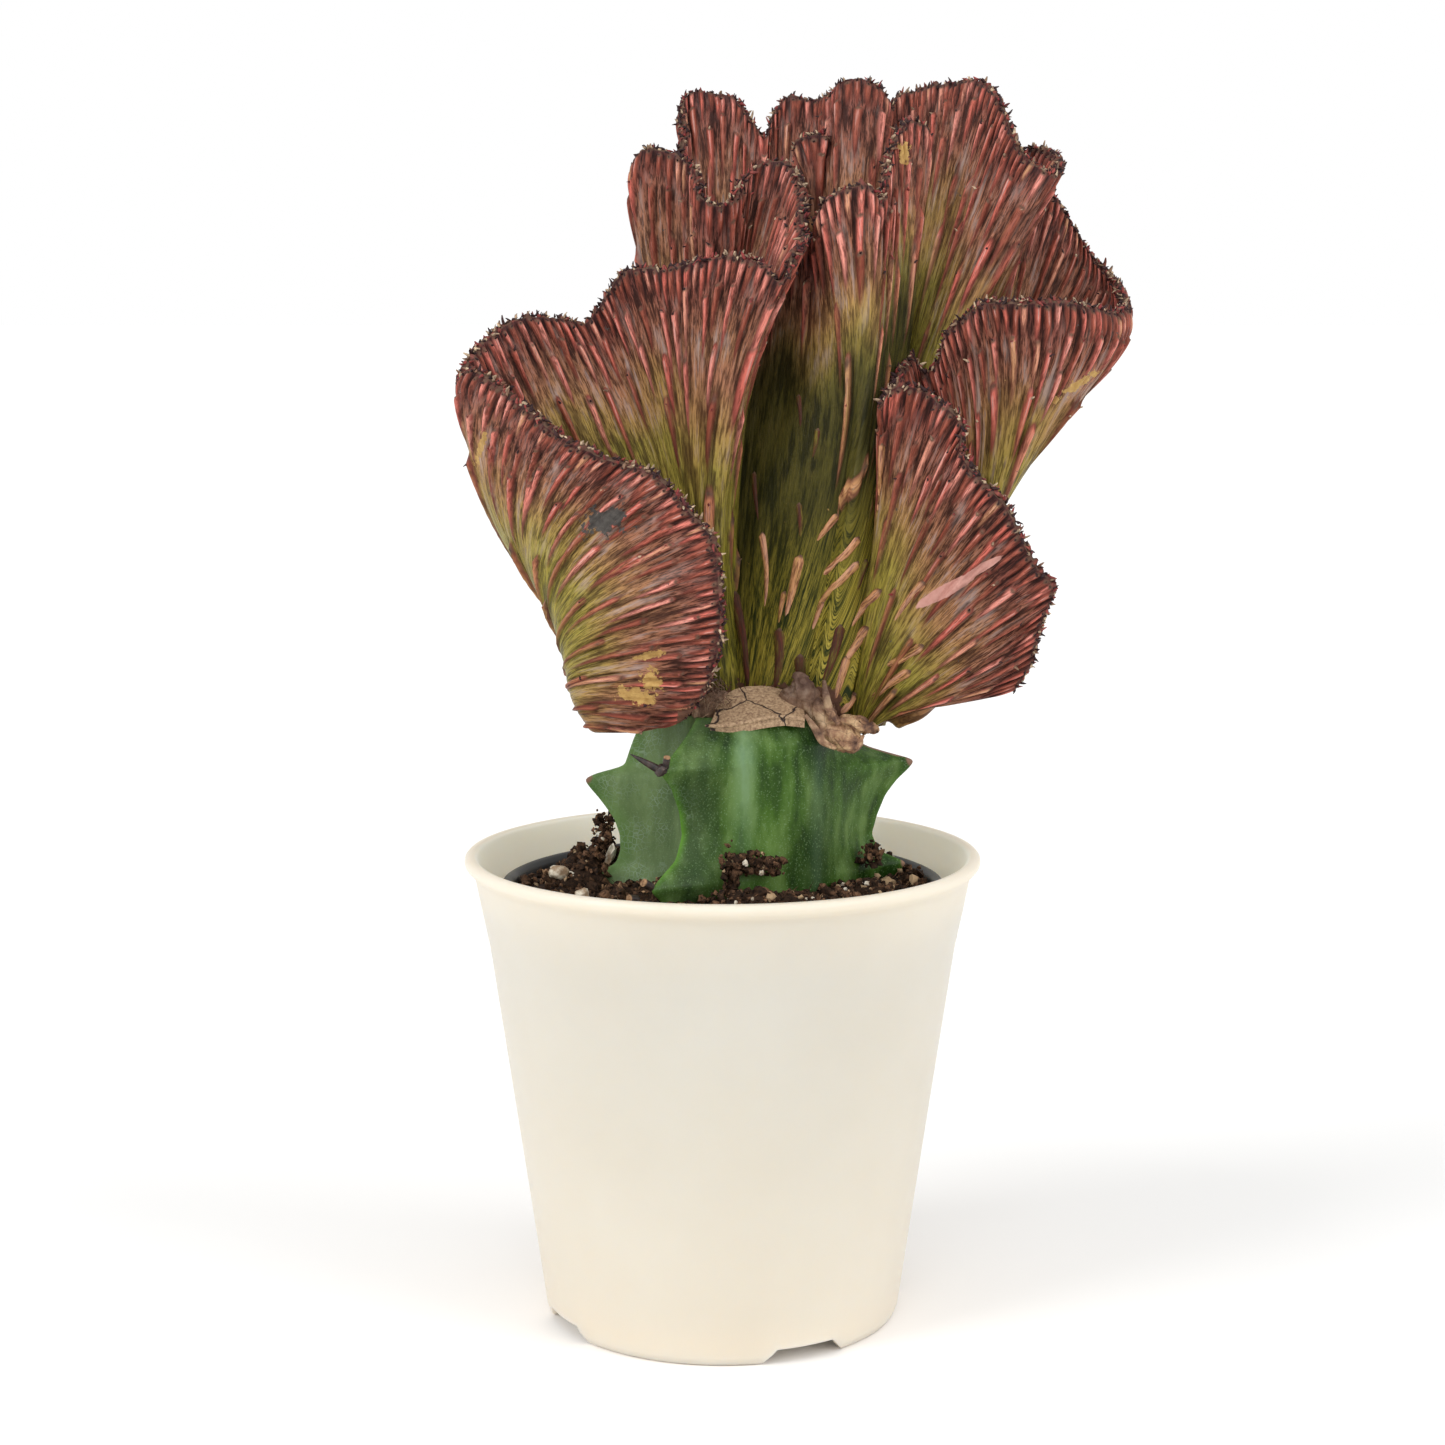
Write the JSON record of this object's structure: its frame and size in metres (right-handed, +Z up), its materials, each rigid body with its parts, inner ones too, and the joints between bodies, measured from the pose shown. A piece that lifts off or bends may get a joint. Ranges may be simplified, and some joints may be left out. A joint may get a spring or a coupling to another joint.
{
  "type": "potted coral cactus",
  "caption": "Grafted crested euphorbia: a ruffled, ribbed red and green fan on a winged green stem, in soil in a black grow pot inside a tapered cream pot.",
  "frame": {"origin": "the middle of the bounding box's underside, on the level that the pot's foot stands on", "axes": "+Z up; -Y towards the viewer of the picture; +X to the viewer's right, the side the crest leans to"},
  "size_m": [0.1693, 0.13, 0.3154],
  "materials": {
    "cream_plastic": "smooth satin cream plastic",
    "black_plastic": "thin satin black plastic",
    "peat": "matt crumbly dark brown peat soil",
    "green_skin": "smooth waxy green skin",
    "cork": "dry cracked brown cork",
    "crest_skin": "satin ribbed skin, olive at the base and red at the edge",
    "perlite_white": "matt white granules",
    "bark_tan": "matt tan wood chip"
  },
  "bodies": {
    "root": {"outer_pot": "cream_plastic", "nursery_pot": "black_plastic", "soil": "peat", "rootstock": "green_skin", "graft_callus": "cork", "crest": "crest_skin", "perlite_left": "perlite_white", "perlite_low_left": "perlite_white", "perlite_front": "perlite_white", "perlite_right": "perlite_white", "bark_chip": "bark_tan"}
  },
  "joints": []
}
